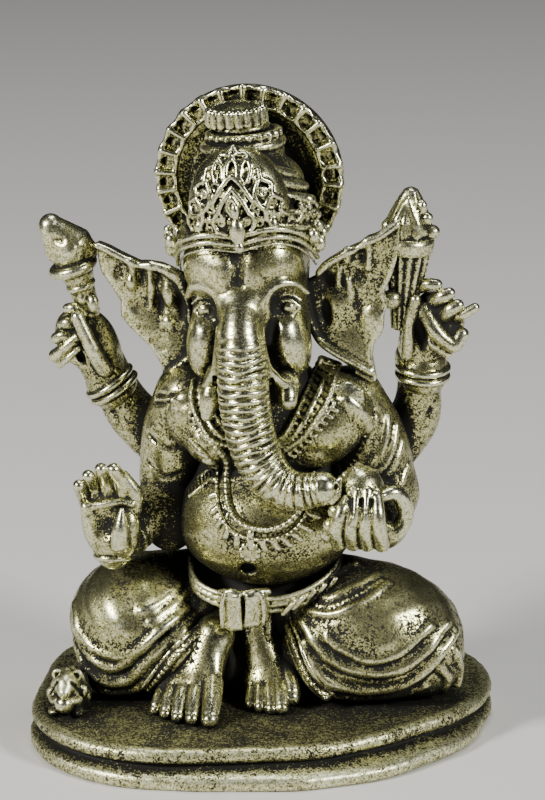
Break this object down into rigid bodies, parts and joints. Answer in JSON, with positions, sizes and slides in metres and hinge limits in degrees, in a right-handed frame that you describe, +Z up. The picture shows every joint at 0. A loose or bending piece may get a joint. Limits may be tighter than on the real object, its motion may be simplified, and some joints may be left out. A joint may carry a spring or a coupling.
{
  "type": "seated elephant-headed deity figurine",
  "caption": "Small antique-brass figurine of a seated, elephant-headed, four-armed deity with a halo and crown, on a low grooved oval plinth.",
  "frame": {"origin": "middle of the plinth's underside", "axes": "+Z up from the plinth to the crown, -Y towards the front, +X towards the figure's own left"},
  "size_m": [0.0546, 0.0462, 0.0782],
  "materials": {
    "plinth": "antique brass with dark patina in the hollows",
    "dhoti_seat": "antique brass, mostly dark patina",
    "torso": "antique brass with dark patina in the hollows",
    "right_leg": "antique brass with dark patina in the hollows",
    "left_leg": "antique brass with dark patina in the hollows",
    "right_foot": "antique brass, polished on the raised parts",
    "left_foot": "antique brass, polished on the raised parts",
    "dhoti_border_right": "antique brass, polished on the raised parts",
    "dhoti_border_left": "antique brass, polished on the raised parts",
    "waist_sash": "antique brass, mostly dark patina",
    "sash_knot": "antique brass, polished on the raised parts",
    "head": "antique brass with dark patina in the hollows",
    "trunk": "antique brass with dark patina in the hollows",
    "right_tusk": "antique brass, polished on the raised parts",
    "left_tusk": "antique brass, polished on the raised parts",
    "right_ear": "antique brass with dark patina in the hollows",
    "left_ear": "antique brass with dark patina in the hollows",
    "headband": "antique brass, polished on the raised parts",
    "crown": "antique brass with dark patina in the hollows",
    "crown_cap": "antique brass, polished on the raised parts",
    "crown_crest": "antique brass, polished on the raised parts",
    "crest_jewel": "antique brass, polished on the raised parts",
    "halo_dish": "antique brass, mostly dark patina",
    "halo_ring": "antique brass, polished on the raised parts",
    "right_upper_arm": "antique brass with dark patina in the hollows",
    "right_forearm": "antique brass with dark patina in the hollows",
    "right_hand": "antique brass, polished on the raised parts",
    "left_sleeve": "antique brass with dark patina in the hollows",
    "left_forearm": "antique brass with dark patina in the hollows",
    "left_hand": "antique brass, polished on the raised parts",
    "sweet": "antique brass, polished on the raised parts",
    "right_back_arm": "antique brass with dark patina in the hollows",
    "right_back_bracelet": "antique brass, polished on the raised parts",
    "right_back_hand": "antique brass, polished on the raised parts",
    "lotus_bud": "antique brass with dark patina in the hollows",
    "left_back_arm": "antique brass with dark patina in the hollows",
    "left_back_bracelet": "antique brass, polished on the raised parts",
    "left_back_hand": "antique brass, polished on the raised parts",
    "conch": "antique brass with dark patina in the hollows",
    "collar": "antique brass, mostly dark patina",
    "garland": "antique brass, mostly dark patina",
    "pendant": "antique brass, polished on the raised parts",
    "right_shoulder_fringe": "antique brass, polished on the raised parts",
    "left_shoulder_fringe": "antique brass, polished on the raised parts",
    "mouse": "antique brass with dark patina in the hollows",
    "mouse_sweet": "antique brass, polished on the raised parts"
  },
  "bodies": {
    "root": {"plinth": "plinth", "dhoti_seat": "dhoti_seat", "torso": "torso", "right_leg": "right_leg", "left_leg": "left_leg", "right_foot": "right_foot", "left_foot": "left_foot", "dhoti_border_right": "dhoti_border_right", "dhoti_border_left": "dhoti_border_left", "waist_sash": "waist_sash", "sash_knot": "sash_knot", "head": "head", "trunk": "trunk", "right_tusk": "right_tusk", "left_tusk": "left_tusk", "right_ear": "right_ear", "left_ear": "left_ear", "headband": "headband", "crown": "crown", "crown_cap": "crown_cap", "crown_crest": "crown_crest", "crest_jewel": "crest_jewel", "halo_dish": "halo_dish", "halo_ring": "halo_ring", "right_upper_arm": "right_upper_arm", "right_forearm": "right_forearm", "right_hand": "right_hand", "left_sleeve": "left_sleeve", "left_forearm": "left_forearm", "left_hand": "left_hand", "sweet": "sweet", "right_back_arm": "right_back_arm", "right_back_bracelet": "right_back_bracelet", "right_back_hand": "right_back_hand", "lotus_bud": "lotus_bud", "left_back_arm": "left_back_arm", "left_back_bracelet": "left_back_bracelet", "left_back_hand": "left_back_hand", "conch": "conch", "collar": "collar", "garland": "garland", "pendant": "pendant", "right_shoulder_fringe": "right_shoulder_fringe", "left_shoulder_fringe": "left_shoulder_fringe", "mouse": "mouse", "mouse_sweet": "mouse_sweet"}
  },
  "joints": []
}
